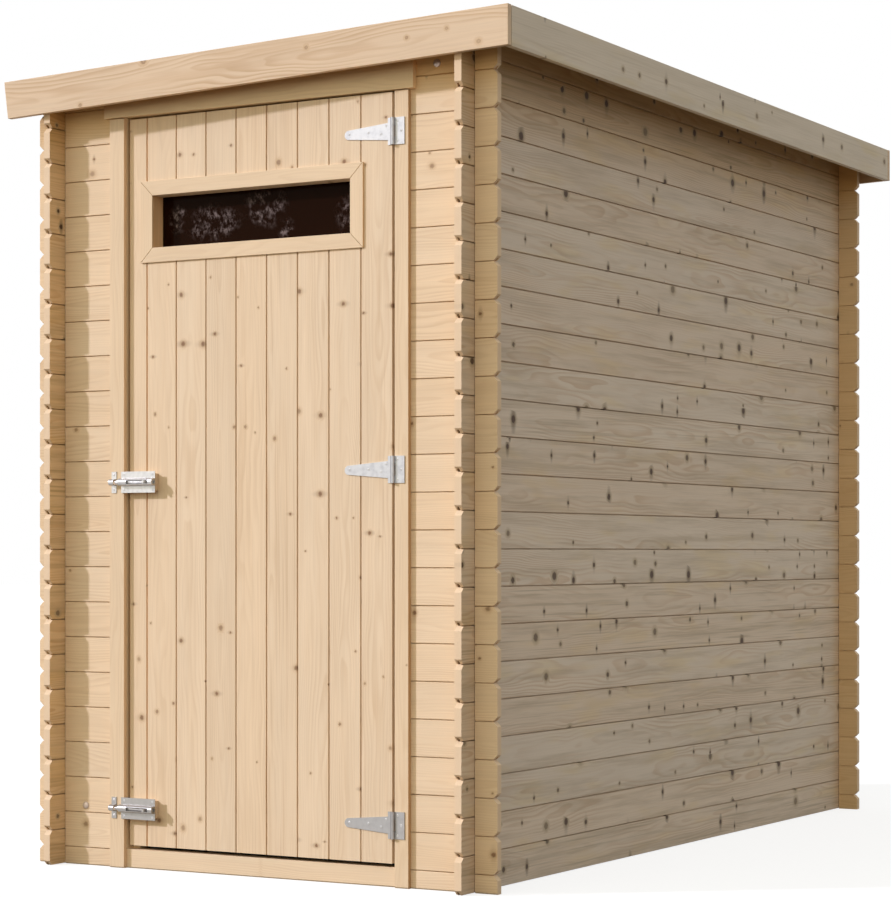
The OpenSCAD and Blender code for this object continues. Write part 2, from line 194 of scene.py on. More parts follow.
class Graph:
    """The nodes of a material or of the sky, and short ways to lay them out."""

    def __init__(self, owner):
        owner.use_nodes = True
        self.owner = owner
        self.tree = owner.node_tree
        self.shader = self.tree.nodes.get("Principled BSDF") or self.tree.nodes.get("Background")
        self.output = next(n for n in self.tree.nodes if n.bl_idname.startswith("ShaderNodeOutput"))

    def node(self, kind, sockets=(), **settings):
        """A node with its settings, and pairs of a socket and what goes into it."""
        made = self.tree.nodes.new(kind)
        for name, value in settings.items():
            setattr(made, name, value)
        for socket, value in sockets:
            self.feed(made.inputs[socket], value)
        return made

    def feed(self, socket, value):
        if isinstance(value, bpy.types.NodeSocket):
            self.tree.links.new(value, socket)
        elif socket.type == "RGBA":
            socket.default_value = (*value, 1)
        else:
            socket.default_value = value

    def shade(self, **values):
        """Sets the shader's sockets, named with underscores for spaces."""
        for name, value in values.items():
            self.feed(self.shader.inputs[name.replace("_", " ")], value)

    def math(self, operation, *values, clamp=False):
        made = self.node(
            "ShaderNodeMath", enumerate(values), operation=operation, use_clamp=clamp)
        return made.outputs[0]

    def times(self, a, b):
        return self.math("MULTIPLY", a, b)

    def minus(self, a, b):
        return self.math("SUBTRACT", a, b)

    def vector(self, operation, *values):
        made = self.node("ShaderNodeVectorMath", enumerate(values), operation=operation)
        return made.outputs["Value" if operation in ("LENGTH", "DOT_PRODUCT") else "Vector"]

    def split(self, vector):
        return self.node("ShaderNodeSeparateXYZ", [(0, vector)]).outputs

    def joined(self, *values):
        return self.node("ShaderNodeCombineXYZ", enumerate(values)).outputs[0]

    def attribute(self, name):
        return self.node("ShaderNodeAttribute", attribute_name=name).outputs["Vector"]

    def here(self):
        """Where a point is, in metres."""
        return self.node("ShaderNodeTexCoord").outputs["Object"]

    def noise(self, where, scale, detail=1.0, roughness=0.5, output="Fac"):
        """Noise at a scale, which may differ along x, y and z."""
        if isinstance(scale, tuple):
            where = self.vector("MULTIPLY", where, scale)
            scale = 1.0
        made = self.node("ShaderNodeTexNoise", (
            ("Vector", where), ("Scale", scale), ("Detail", detail), ("Roughness", roughness)))
        return made.outputs[output]

    def fade(self, value, start, end, low=0.0, high=1.0):
        """A smooth step from low to high as the value goes from start to end."""
        made = self.node("ShaderNodeMapRange", (
            ("Value", value), ("From Min", start), ("From Max", end), ("To Min", low),
            ("To Max", high)), interpolation_type="SMOOTHSTEP")
        return made.outputs[0]

    def mix(self, factor, a, b, blend="MIX"):
        made = self.node(
            "ShaderNodeMix", ((0, factor), (6, a), (7, b)), data_type="RGBA", blend_type=blend)
        return made.outputs[2]

    def bump(self, height, strength, distance):
        made = self.node("ShaderNodeBump", (
            ("Strength", strength), ("Distance", distance), ("Height", height)))
        return made.outputs[0]


# Width of a growth ring, the cast of golden patches, and the painted shade on timber near a corner
RING = 0.0048
GOLDEN = (0.985, 0.94, 0.77)
CORNER_SHADE_TINT = (0.89, 0.80, 0.64)


def knots(g, face, kind):
    """How deep in a knot a point is, how near it, how scarred by it, and how dark the knot is."""
    long, wide = kind["cell"]
    cells = g.vector("MULTIPLY", face, (1 / long, 1 / wide, 0))
    spots = g.node("ShaderNodeTexVoronoi", (("Vector", cells), ("Scale", 1.0), ("Randomness", 0.9)),
                   voronoi_dimensions="2D", feature="F1")
    away = g.vector("SUBTRACT", cells, spots.outputs["Position"])
    luck = g.split(spots.outputs["Color"])
    stretch = g.math("MULTIPLY_ADD", luck[2], 0.12 * long * kind["scars"], long / 1.15)
    away = g.vector("MULTIPLY", away, g.joined(stretch, wide))
    ragged = g.math("MULTIPLY_ADD", g.noise(face, 220.0), 0.004, -0.002)
    distance = g.math("ADD", g.vector("LENGTH", away), ragged)
    there = g.math("LESS_THAN", luck[0], kind["chance"])
    small, large = kind["radius"]
    radius = g.math("MULTIPLY_ADD", g.math("POWER", luck[1], 2.0), large - small, small)
    share = g.math("DIVIDE", distance, radius)
    heart = g.fade(share, 1.12, 0.34 + 0.28 * kind["grey"])
    middle = g.fade(share, 0.75, 0.15, 0.0, kind["ringed"])
    heart = g.times(g.minus(heart, middle), there)
    halo = g.times(g.fade(share, 2.6, 0.8), there)
    tall = g.vector("LENGTH", g.vector("MULTIPLY", away, (0.75, 0.26, 0)))
    scar = g.times(g.fade(g.math("DIVIDE", tall, radius), 1.2, 0.3), there)
    return heart, halo, scar, luck[2]


def past_corner(g, axis):
    """How close a board's point is to a wall that it crosses, up to 1 where it stands clear."""
    walls = (("left_wall", "right_wall"), ("front_wall_left", "rear_wall"))[axis]
    (_, start), (end, outer) = (span(wall) for wall in walls)
    middle = 0.5 * (start[axis] + end[axis])
    reach = 0.5 * (end[axis] - start[axis])
    off = g.math("ABSOLUTE", g.minus(g.split(g.here())[axis], middle))
    off = g.minus(off, reach)
    inside = g.fade(off, -0.07, 0.0, 0.0, 0.5)
    return g.math("ADD", inside, g.fade(off, 0.0, outer[axis] - end[axis], 0.0, 0.5))


def below_roof(g):
    """How far a point is under the roof boards."""
    at, up = roof_plane()
    return g.minus(at.dot(up), g.vector("DOT_PRODUCT", g.here(), tuple(up)))


def between(a, b, share):
    """A colour part of the way from one to another."""
    return tuple(p + (q - p) * share for p, q in zip(a, b))


def timber(name, finish, kind):
    """Planed spruce: growth rings, fibres, knots and a cast that differs from board to board, with
    painted light and shade by place and facing.
    """
    g = Graph(bpy.data.materials.new(name))
    grain = g.attribute("grain")
    light, cast, streaky = g.split(g.attribute("tone"))
    facing = g.split(g.node("ShaderNodeNewGeometry").outputs["True Normal"])
    where = g.split(g.here())
    grey = kind["grey"]
    stain = between(finish.summer, finish.stain, grey)
    pale = between(finish.spruce, finish.weathered, grey)
    warm = between(finish.honey, finish.weathered, 0.6 * grey)
    knot = between(finish.knot, finish.old_knot, grey)
    heart, halo, scar, age = knots(g, g.attribute("face"), kind)

    # Growth rings that wander along the board and bend round its knots
    drift = g.noise(grain, (2.2, 11.0, 11.0), 2.0, output="Color")
    drift = g.vector("SUBTRACT", drift, (0.5, 0.5, 0.5))
    drift = g.vector("MULTIPLY", drift, (0.0, 0.040, 0.040))
    bent = g.vector("MULTIPLY", g.vector("ADD", grain, drift), (0.0, 1.0, 1.0))
    reach = g.math("MULTIPLY_ADD", g.math("POWER", halo, 2.0), 0.007, g.vector("LENGTH", bent))
    uneven = g.noise(grain, (0.6, 60.0, 60.0), 0.0)
    turns = g.math("MULTIPLY_ADD", uneven, 0.9, g.math("DIVIDE", reach, RING))
    ring = g.math("FRACT", turns)
    late = g.times(g.fade(ring, 0.25, 0.84), g.fade(ring, 1.0, 0.86))
    patch = g.noise(grain, (2.0, 12.0, 12.0), 2.0)
    figured = g.times(late, g.fade(patch, 0.40, 0.66, 0.12, kind["figure"]))

    # Fibres, streaks and cloudy patches
    fibre = g.noise(grain, (6.0, 420.0, 420.0), 2.0)
    streak = g.fade(g.noise(grain, (2.6, 170.0, 170.0)), 0.52, 0.74)
    streak = g.times(streak, g.fade(streaky, 0.35, 1.0, 0.10, 1.0))
    clouds = g.split(g.noise(grain, (3.2, 17.0, 17.0), 2.0, 0.6, "Color"))
    smoke = g.noise(grain, (1.8, 36.0, 36.0), 4.0, 0.65)
    body = g.mix(g.fade(g.math("ADD", clouds[0], cast), 0.70, 1.30), pale, warm)
    body = g.mix(g.fade(clouds[2], 0.52, 0.72, 0.0, 0.7 * grey), body, GOLDEN, "MULTIPLY")
    body = g.mix(figured, body, finish.summer)
    body = g.mix(g.times(streak, kind["streaks"]), body, stain)
    body = g.mix(g.fade(smoke, 0.44, 0.70, 0.0, kind["smoke"]), body, stain)
    shade = g.math("MULTIPLY_ADD", light, 0.055, 0.955)
    for pattern, depth in ((clouds[1], 0.15), (fibre, 0.12)):
        shade = g.math("MULTIPLY_ADD", g.minus(pattern, 0.5), depth, shade)
    body = g.mix(1.0, body, g.joined(shade, shade, shade), "MULTIPLY")

    # Casts of the kind of timber, then painted shade and light by its place in the shed
    body = g.mix(1.0, body, kind["tint"], "MULTIPLY")
    # Painted shade near and past the walls a board crosses, deeper at the rear
    if "crosses" in kind:
        axis, at_front, at_rear = kind["crosses"]
        corner_shade = g.fade(where[1], -0.5, 0.5, at_front, at_rear)
        body = g.mix(g.times(past_corner(g, axis), corner_shade), body, CORNER_SHADE_TINT, "MULTIPLY")
    # Painted shade under the roof: darker and warmer nearer the roof boards
    for far, near, tint in kind.get("top", ()):
        body = g.mix(g.fade(below_roof(g), far, near), body, tint, "MULTIPLY")
    # Painted warm bounce light on faces that look inwards, such as the inner sides of the log ends
    if "indoors" in kind:
        inward = g.fade(g.times(facing[0], where[0]), -0.1, -0.3)
        body = g.mix(inward, body, kind["indoors"], "MULTIPLY")
    # Painted light and shade on faces that look right: darker on the frame, warmer on the trim,
    # lighter on the latch casing
    if "edges" in kind:
        body = g.mix(g.fade(facing[0], 0.6, 0.9), body, kind["edges"], "MULTIPLY")
    # Painted warm light on the window jamb of the door boards
    if "jamb_light" in kind:
        off = g.math("ABSOLUTE", g.minus(where[0], span("window_pane")[0].x))
        jamb_light = g.times(g.fade(facing[0], 0.6, 0.9), g.fade(off, 0.020, 0.019))
        body = g.mix(jamb_light, body, kind["jamb_light"], "MULTIPLY")
    # Painted shade on faces that look down, such as the roof's soffit
    if "under" in kind:
        body = g.mix(g.fade(facing[2], -0.3, -0.6), body, kind["under"], "MULTIPLY")

    # Knots, and the sawn ends of boards that run past a corner
    stained = g.times(g.math("POWER", halo, 1.6), 0.70 * kind["knots"])
    body = g.mix(stained, body, stain)
    scarred = g.fade(age, 0.35, 1.0, 0.0, 0.6 * kind["scars"])
    body = g.mix(g.times(scar, scarred), body, knot)
    dark = g.fade(age, 0.0, 0.7, 0.60 * kind["knots"], kind["knots"])
    body = g.mix(g.times(heart, dark), body, knot)
    if "crosses" in kind:
        sawn = g.fade(g.math("ABSOLUTE", facing[axis]), 0.5, 0.6, 0.0, 0.85)
        body = g.mix(sawn, body, finish.cut)

    g.shade(Base_Color=body, Specular_IOR_Level=0.25)
    g.shade(Roughness=g.math("MULTIPLY_ADD", fibre, 0.16, 0.55))
    height = g.math("MULTIPLY_ADD", late, 0.5, g.minus(fibre, heart))
    g.shade(Normal=g.bump(height, 0.25, 0.0004))
    return g.owner


# Painted darker reflection of plated steel low down, and painted shadow round the hinge pins
PAINTED_LOW_REFLECTION = (0.30, 0.28, 0.26)
SHADED = (0.10, 0.085, 0.095)


def zinc_plate(name, colour, metallic, low_down=0.0, at_pins=0.0):
    """Zinc-plated steel: bright and a little cloudy, with a painted darker reflection low down and
    a painted shadow round the hinge pins.
    """
    g = Graph(bpy.data.materials.new(name))
    where = g.here()
    x, _, z = g.split(where)
    cloud = g.noise(where, 70.0, 3.0)
    speck = g.noise(where, 900.0)
    dull = tuple(0.78 * c for c in colour)
    body = g.mix(g.fade(cloud, 0.35, 0.75), colour, dull)
    # Painted reflection: steel low down is darker, as if it mirrored the ground
    if low_down:
        body = g.mix(g.fade(z, 0.5, 0.4, 0.0, low_down), body, PAINTED_LOW_REFLECTION)
    # Painted shadow of the hinge knuckle on the leaf beside the pin
    if at_pins:
        off = g.minus(x, HINGE_X)
        band = g.fade(off, 0.0005, -0.0030, 0.0, at_pins)
        body = g.mix(g.times(g.fade(off, -0.0055, -0.0045), band), body, SHADED)
    g.shade(Base_Color=body, Metallic=metallic)
    g.shade(Roughness=g.math("MULTIPLY_ADD", cloud, 0.20, 0.26))
    g.shade(Normal=g.bump(speck, 0.10, 0.0002))
    return g.owner


# Where painted reflections lie on the pane, as parts of its width and height: along, up, and each
# one's spread
PANE_REFLECTIONS = ((0.10, 0.55, 0.05, 0.22), (0.27, 0.45, 0.13, 0.28), (0.53, 0.62, 0.10, 0.32),
              (0.63, 0.28, 0.04, 0.16), (0.94, 0.42, 0.07, 0.30))
# Grey of the painted reflections
REFLECTION_GREY = (0.23, 0.18, 0.175)


def pane_glass(finish):
    """A nearly opaque pane, painted dark for the shaded room behind it, with painted grey
    reflections in a few places.
    """
    g = Graph(bpy.data.materials.new("pane_glass"))
    low, high = span("window_pane")
    width = high.x - low.x
    height = high.z - low.z
    where = g.here()
    reflections = 0.0
    for along, up, wide, tall in PANE_REFLECTIONS:
        centre = (low.x + along * width, 0, low.z + up * height)
        away = g.vector("SUBTRACT", where, centre)
        away = g.vector("MULTIPLY", away, (1 / (wide * width), 0, 1 / (tall * height)))
        reflections = g.math("ADD", reflections, g.fade(g.vector("LENGTH", away), 1.25, 0.45))
    patchy = g.noise(where, (26.0, 1.0, 30.0), 1.5)
    fine = g.noise(where, (80.0, 1.0, 60.0), 4.0, 0.75)
    # Painted reflections: patchy grey smears within each spot
    bloom = g.times(g.fade(patchy, 0.38, 0.60), g.fade(fine, 0.44, 0.70))
    bloom = g.math("MULTIPLY", bloom, reflections, clamp=True)
    # The pane's own dark colour is painted shade of the room behind it
    g.shade(Base_Color=g.mix(bloom, finish.glass, REFLECTION_GREY))
    g.shade(Roughness=g.math("MULTIPLY_ADD", bloom, 0.4, 0.10))
    g.shade(Specular_IOR_Level=0.02, Alpha=0.98)
    return g.owner


def materials(context):
    """Every finish of the shed by the name of its kind, made once."""
    if not MADE:
        finish = context.scene.shed_finish
        for name, kind in TIMBERS.items():
            MADE[name] = timber(f"{name}_spruce", finish, kind)
        MADE["hinge"] = zinc_plate(
            "hinge_zinc", tuple(finish.zinc), 0.60, low_down=0.60, at_pins=0.75)
        MADE["bolt"] = zinc_plate("bolt_zinc", (0.565, 0.555, 0.545), 0.78, low_down=0.70)
        MADE["coach"] = zinc_plate("coach_bolt_zinc", (0.60, 0.49, 0.42), 0.35)
        MADE["screw"] = zinc_plate("screw_zinc", (0.62, 0.61, 0.60), 0.35)
        MADE["glass"] = pane_glass(finish)
    return MADE


# Each kind of timber: the cell, likelihood and radius of its knots, how ringed, strong and scarred
# they are, how much figure, streaks, smoke and grey it has, and its tint. For some kinds also the
# axis on which a board crosses other walls with its painted shade there at the front and at the
# rear, the painted shade under the roof from far to near, and the painted light and shade
# indoors, on edges, on the jamb and underneath.
NARROW = {"cell": (0.30, 0.045), "chance": 0.20, "radius": (0.0020, 0.0060), "ringed": 0.4,
          "knots": 0.6, "scars": 0.15, "figure": 0.24, "streaks": 0.15, "smoke": 0.05,
          "grey": 0.0, "tint": (1.02, 1.0, 0.97)}
TIMBERS = {
    "front": {
        "cell": (0.21, 0.090), "chance": 0.38, "radius": (0.0030, 0.0085), "ringed": 0.0,
        "knots": 0.86, "scars": 0.45, "figure": 0.38, "streaks": 0.20, "smoke": 0.12,
        # Front: painted shade near the crossing walls, weak on the front wall and full on the rear
        # wall
        "grey": 0.0, "tint": (1.01, 1.01, 1.01), "crosses": (0, 0.25, 1.0),
        # Painted warm shade under the front fascia
        "top": ((0.17, 0.07, (1.07, 0.94, 0.68)),)},
    "side": {
        "cell": (0.115, 0.045), "chance": 0.30, "radius": (0.0045, 0.0120), "ringed": 0.0,
        "knots": 1.0, "scars": 0.85, "figure": 0.60, "streaks": 0.66, "smoke": 0.48,
        # Side: its bluish tint is painted cool sky light, as on the shaded long wall
        "grey": 1.0, "tint": (0.985, 1.005, 1.115), "crosses": (1, 0.60, 0.85),
        # Painted warm bounce light on inward faces
        "indoors": (1.08, 0.98, 0.77),
        # Painted shade under the eave, in two stages
        "top": ((0.26, 0.10, (0.92, 0.83, 0.67)), (0.11, 0.03, (0.84, 0.73, 0.53)))},
    # Frame: painted shade on faces that look right
    "frame": dict(NARROW, edges=(0.68, 0.58, 0.46)),
    # Inner: a lighter tint, painted light on the lintel and linings in the fascia's shade
    "inner": dict(NARROW, chance=0.10, tint=(1.10, 1.10, 1.03),
                  # Painted shade on the lintel under the fascia
                  top=((0.090, 0.045, (0.78, 0.58, 0.40)),)),
    "sill": dict(NARROW, scars=0.0, figure=0.40, streaks=0.25, smoke=0.15, tint=(1.0, 1.0, 1.0)),
    "fascia": {
        "cell": (0.19, 0.060), "chance": 0.62, "radius": (0.0045, 0.0085), "ringed": 0.6,
        "knots": 0.90, "scars": 0.0, "figure": 0.75, "streaks": 0.60, "smoke": 0.35,
        "grey": 0.0, "tint": (0.91, 0.88, 0.875)},
    "eave": {
        "cell": (0.17, 0.070), "chance": 0.60, "radius": (0.0035, 0.0085), "ringed": 0.0,
        "knots": 0.90, "scars": 1.0, "figure": 0.10, "streaks": 0.25, "smoke": 0.20,
        "grey": 1.0, "tint": (0.89, 0.93, 1.03)},
    "deck": {
        "cell": (0.20, 0.048), "chance": 0.36, "radius": (0.0030, 0.0085), "ringed": 0.6,
        "knots": 0.85, "scars": 0.2, "figure": 0.42, "streaks": 0.22, "smoke": 0.22,
        # Painted shade on the underside of the deck
        "grey": 0.4, "tint": (0.95, 0.95, 0.95), "under": (0.18, 0.125, 0.105)},
    "door": {
        "cell": (0.17, 0.060), "chance": 0.52, "radius": (0.0024, 0.0078), "ringed": 0.1,
        "knots": 0.88, "scars": 0.46, "figure": 0.36, "streaks": 0.46, "smoke": 0.20,
        # Painted warm light on the window jamb
        "grey": 0.0, "tint": (1.0, 1.0, 1.01), "jamb_light": (1.10, 0.89, 0.66)},
    "trim": dict(NARROW, chance=0.0, radius=(0.0020, 0.0050), ringed=0.0, knots=0.0, scars=0.0,
                 # painted warm light on the trim's faces that look right
                 figure=0.16, streaks=0.10, tint=(1.0, 0.98, 0.95), edges=(1.0, 0.87, 0.69)),
    # Latch: painted light on the latch casing's face that looks right
    "latch": dict(NARROW, edges=(1.07, 0.985, 0.90)),
}
MADE = {}


# ---- joinery ----


def points_of(made):
    """The vertices among what an operator made."""
    return [v for v in made["geom"] if isinstance(v, bmesh.types.BMVert)]


def rim_of(bm):
    """The open edges of a mesh."""
    return [e for e in bm.edges if e.is_boundary]


def prism(section, place, length):
    """A board from its end view, whose points are (depth, height), along a place's x axis."""
    board = bmesh.new()
    end = board.faces.new([board.verts.new((0, depth, height)) for depth, height in section])
    pushed = bmesh.ops.extrude_face_region(board, geom=[end])
    bmesh.ops.translate(board, verts=points_of(pushed), vec=(length, 0, 0))
    board.transform(place)
    bmesh.ops.recalc_face_normals(board, faces=board.faces)
    return board


def saw(board, point, normal):
    """Takes off what lies beyond a plane and closes the cut."""
    everything = board.verts[:] + board.edges[:] + board.faces[:]
    bmesh.ops.bisect_plane(
        board, geom=everything, dist=1e-6, plane_co=point, plane_no=normal, clear_outer=True)
    rim = rim_of(board)
    if rim:
        bmesh.ops.holes_fill(board, edges=rim, sides=0)


def eased(board, ease):
    """Rounds every edge of a board."""
    bmesh.ops.bevel(board, geom=board.edges[:], offset=ease, offset_type="OFFSET", segments=2,
                    profile=0.5, affect="EDGES", material=-1)


def tongued(cover, thick, vee, sizes, groove=True, tongue=True, gap=None, depth=0.6):
    """End view of a tongued and grooved board that covers a height, from its face inwards.

    The joint stands open at both faces and is tight between them."""
    gap = gap or sizes.gap
    shut = 0.0002
    slack = 0.0003
    cheek = 0.0005
    room = 0.0015
    low = gap / 2
    high = cover - gap / 2
    middle = depth * thick
    half = sizes.tongue_w / 2
    slot = half + slack
    front = min(sizes.joint, middle - slot - cheek)
    back = thick - min(sizes.joint, thick - middle - slot - cheek)
    points = [(0, low)]
    if groove:
        top = low + sizes.tongue_h + room
        points = [(0, low + vee), (vee, low), (front, low), (front, shut),
                  (middle - slot, shut), (middle - slot, top), (middle + slot, top),
                  (middle + slot, shut), (back, shut), (back, low)]
    points += [(thick, low), (thick, high)]
    if tongue:
        tip = high + sizes.tongue_h
        shut = cover - shut
        points += [(back, high), (back, shut), (middle + half, shut), (middle + half, tip),
                   (middle - half, tip), (middle - half, shut), (front, shut), (front, high),
                   (vee, high), (0, high - vee)]
    else:
        points += [(0, high)]
    return points


def islands(bm):
    """The separate solids of a mesh, as lists of vertices, from the lowest up."""
    left = set(bm.verts)
    found = []
    while left:
        reached = [left.pop()]
        for v in reached:
            near = [e.other_vert(v) for e in v.link_edges]
            fresh = [n for n in near if n in left]
            left.difference_update(fresh)
            reached.extend(fresh)
        found.append(reached)
    return sorted(found, key=lambda part: min(
        (round(v.co.z, 4), round(v.co.x, 4), round(v.co.y, 4)) for v in part))


def forwards(direction):
    """A direction or its opposite, whichever points more upwards, right and back.

    It is rounded, so that a board's place and its random cast come out the same every time."""
    exact = Vector(round(part, 5) for part in direction.normalized()).normalized()
    return exact if exact.dot(UP + CROSSWISE * 0.5 + LENGTHWISE * 0.25) >= 0 else -exact


def lay_grain(bm, name, along=None):
    """Gives each solid the run of its grain, its own piece of a tree, and its own cast."""
    grain, face, tone = (bm.verts.layers.float_vector.new(n) for n in ("grain", "face", "tone"))
    for part in islands(bm):
        faces = {f for v in part for f in v.link_faces}
        broad = max(faces, key=lambda f: round(f.calc_area(), 7)).normal.copy()
        edges = {e for v in part for e in v.link_edges}
        longest = max(edges, key=lambda e: round(e.calc_length(), 6))
        run = forwards(along or longest.verts[1].co - longest.verts[0].co)
        across = forwards(broad.cross(run))
        into = run.cross(across)
        middle = [0.5 * (min(v.co.dot(d) for v in part) + max(v.co.dot(d) for v in part))
                  for d in (run, into, across)]
        draw = random.Random(f"{name} {round(middle[1] * 1e3)} {round(middle[2] * 1e3)}")
        shift = draw.uniform(0, 9)
        pith = Vector((draw.choice((-1, 1)) * draw.uniform(0.02, 0.075), draw.gauss(0, 0.022)))
        lean = Vector((draw.gauss(0, 0.006), draw.gauss(0, 0.006)))
        cast = Vector((draw.random(), draw.random(), draw.random()))
        row = draw.uniform(0, 9)
        for v in part:
            u = v.co.dot(run)
            t = v.co.dot(into) - middle[1]
            w = v.co.dot(across) - middle[2]
            lag = u - middle[0] if along is None else u
            v[grain] = (u + shift, t + pith.x + lag * lean.x, w + pith.y + lag * lean.y)
            v[face] = (u + 3 * shift, w + row, t)
            v[tone] = cast


def in_scene(name, data):
    """An object at the origin that shows a mesh, a lamp or a camera."""
    made = bpy.data.objects.new(name, data)
    bpy.context.scene.collection.objects.link(made)
    return made


class Piece:
    """Collects the solids of one piece, then makes them an object that stands for its CAD nodes."""

    def __init__(self, name, body, finish, *nodes):
        self.name, self.body, self.finish, self.nodes = name, body, finish, nodes
        self.bm = bmesh.new()

    def add(self, part):
        scrap = bpy.data.meshes.new("scrap")
        part.to_mesh(scrap)
        part.free()
        self.bm.from_mesh(scrap)
        bpy.data.meshes.remove(scrap)

    def done(self, context, along=None):
        if self.finish in TIMBERS:
            lay_grain(self.bm, self.name, along)
        mesh = bpy.data.meshes.new(self.name)
        self.bm.to_mesh(mesh)
        self.bm.free()
        mesh.materials.append(materials(context)[self.finish])
        made = in_scene(self.name, mesh)
        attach(made, self.body)
        if self.nodes:
            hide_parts(*self.nodes)


def planed(node, body, finish, context, ease=None, cuts=()):
    """Plain timber in the place of its CAD node, merged to plain faces and with eased edges."""
    piece = Piece(f"{node}_timber", body, finish, node)
    board = bmesh.new()
    board.from_mesh(frame["nodes"][node].data)
    bmesh.ops.remove_doubles(board, verts=board.verts, dist=1e-5)
    bmesh.ops.dissolve_limit(board, angle_limit=math.radians(0.5), verts=board.verts,
                             edges=board.edges, use_dissolve_boundaries=False)
    for layer in list(board.loops.layers.uv):
        board.loops.layers.uv.remove(layer)
    eased(board, ease or context.scene.shed_boards.ease)
    for point, normal in cuts:
        saw(board, point, normal)
    piece.add(board)
    piece.done(context)


def mitred_frame(node, width, finish, context):
    """Four mitred bars round an opening in the door, in the place of their CAD node."""
    low, high = span(node, DOOR)
    thick = high.y - low.y
    piece = Piece(f"{node}_timber", "door", finish, node)
    section = [(0, 0), (thick, 0), (thick, width), (0, width)]
    across = high.x - low.x
    tall = high.z - low.z
    sides = (
        (axes(CROSSWISE, LENGTHWISE, UP, low), across),
        (axes(-CROSSWISE, LENGTHWISE, -UP, Vector((high.x, low.y, high.z))), across),
        (axes(UP, LENGTHWISE, -CROSSWISE, Vector((high.x, low.y, low.z))), tall),
        (axes(-UP, LENGTHWISE, CROSSWISE, Vector((low.x, low.y, high.z))), tall),
    )
    for place, length in sides:
        bar = prism(section, HOUSE, length)
        saw(bar, (MITRE_GAP, 0, 0), (-1, 0, 1))
        saw(bar, (length - MITRE_GAP, 0, 0), (1, 0, 1))
        eased(bar, MITRE_EASE)
        bar.transform(DOOR @ place)
        bmesh.ops.recalc_face_normals(bar, faces=bar.faces)
        piece.add(bar)
    piece.done(context)


# ---- walls ----


def parted(board, columns):
    """A board in lengths that stop short of the walls it crosses."""
    lengths = [board]
    for low, high in columns:
        lengths += [length.copy() for length in lengths]
        for n, length in enumerate(lengths):
            if n < len(lengths) / 2:
                saw(length, (low, 0, 0), CROSSWISE)
            else:
                saw(length, (high, 0, 0), -CROSSWISE)
        for empty in [length for length in lengths if not length.verts]:
            empty.free()
            lengths.remove(empty)
    return lengths


def wall(piece, place, length, top, sizes, section,
         first=0.0, floor=0.0, ends=(True, True), columns=()):
    """Courses of boards up one wall, chamfered where they run past a corner."""
    roof_at, roof_up = roof_plane()
    count = math.ceil((top - first) / sizes.course) + 1
    for course in range(-1 if first else 0, count):
        low = first + course * sizes.course
        if low >= top or low + sizes.course <= floor:
            continue
        board = prism(section, HOUSE, length)
        for at_end, x, out in ((ends[0], 0.0, -1), (ends[1], length, 1)):
            if at_end:
                x -= out * sizes.end_cut
                saw(board, (x, 0, 0), (out, 0, -1))
                saw(board, (x, 0, sizes.course), (out, 0, 1))
                saw(board, (x, 0, sizes.course), (0.2 * out, 0, 1))
        if low <= 0:
            saw(board, (0, 0, sizes.foot - low), (0, -1, -1))
        board.transform(place @ Matrix.Translation((0, 0, low)))
        saw(board, (0, 0, floor), (0, 0, -1))
        saw(board, roof_at, roof_up)
        for part in parted(board, columns):
            piece.add(part)


def side_walls(context):
    """The two long walls."""
    sizes = context.scene.shed_boards
    for node, turn, depth in (("left_wall", -1, 0.37), ("right_wall", 1, 0.63)):
        low, high = span(node)
        section = tongued(sizes.course, high.x - low.x, sizes.vee, sizes, depth=depth)
        face = Vector((low.x, high.y, 0)) if turn < 0 else Vector((high.x, low.y, 0))
        place = axes(LENGTHWISE * turn, CROSSWISE * -turn, UP, face)
        piece = Piece(f"{node}_boards", "shed", "side", node)
        wall(piece, place, high.y - low.y, high.z, sizes, section)
        piece.done(context, along=LENGTHWISE)


def end_walls(context):
    """The front, in its three parts round the doorway, and the rear."""
    sizes = context.scene.shed_boards
    half = sizes.course / 2
    columns = [(low.x - sizes.kerf, high.x + sizes.kerf)
               for low, high in (span("left_wall"), span("right_wall"))]
    parts = (("front_wall_left", 1, (True, False)), ("front_wall_right", 1, (False, True)),
             ("front_wall_top", 1, (False, False)), ("rear_wall", -1, (True, True)))
    for node, turn, ends in parts:
        low, high = span(node)
        face = Vector((low.x, low.y, 0)) if turn > 0 else Vector((high.x, high.y, 0))
        place = axes(CROSSWISE * turn, LENGTHWISE * turn, UP, face)
        piece = Piece(f"{node}_boards", "shed", "front", node)
        section = tongued(sizes.course, high.y - low.y, sizes.vee, sizes, gap=sizes.end_gap)
        wall(piece, place, high.x - low.x, high.z, sizes, section, half, low.z, ends, columns)
        piece.done(context, along=CROSSWISE)


# ---- roof ----


def roof_deck(context):
    """Tongued boards that run down the slope."""
    sizes = context.scene.shed_boards
    low, high = span("roof_boards")
    _, up = roof_plane()
    fall = -up.x / up.z
    thick = (high.z - low.z) - fall * (high.x - low.x)
    cover = (high.y - low.y) / sizes.deck_boards
    shear = Matrix.Identity(4)
    shear[2][0] = fall
    shear[2][3] = -fall * low.x
    piece = Piece("roof_deck_boards", "shed", "deck", "roof_boards")
    for n in range(sizes.deck_boards):
        at = Vector((low.x, low.y + n * cover, low.z + thick))
        last = n == sizes.deck_boards - 1
        section = tongued(cover, thick, sizes.vee, sizes, groove=n > 0, tongue=not last)
        board = prism(section, axes(CROSSWISE, -UP, LENGTHWISE, at), high.x - low.x)
        board.transform(shear)
        piece.add(board)
    piece.done(context, along=CROSSWISE)


# ---- door ----


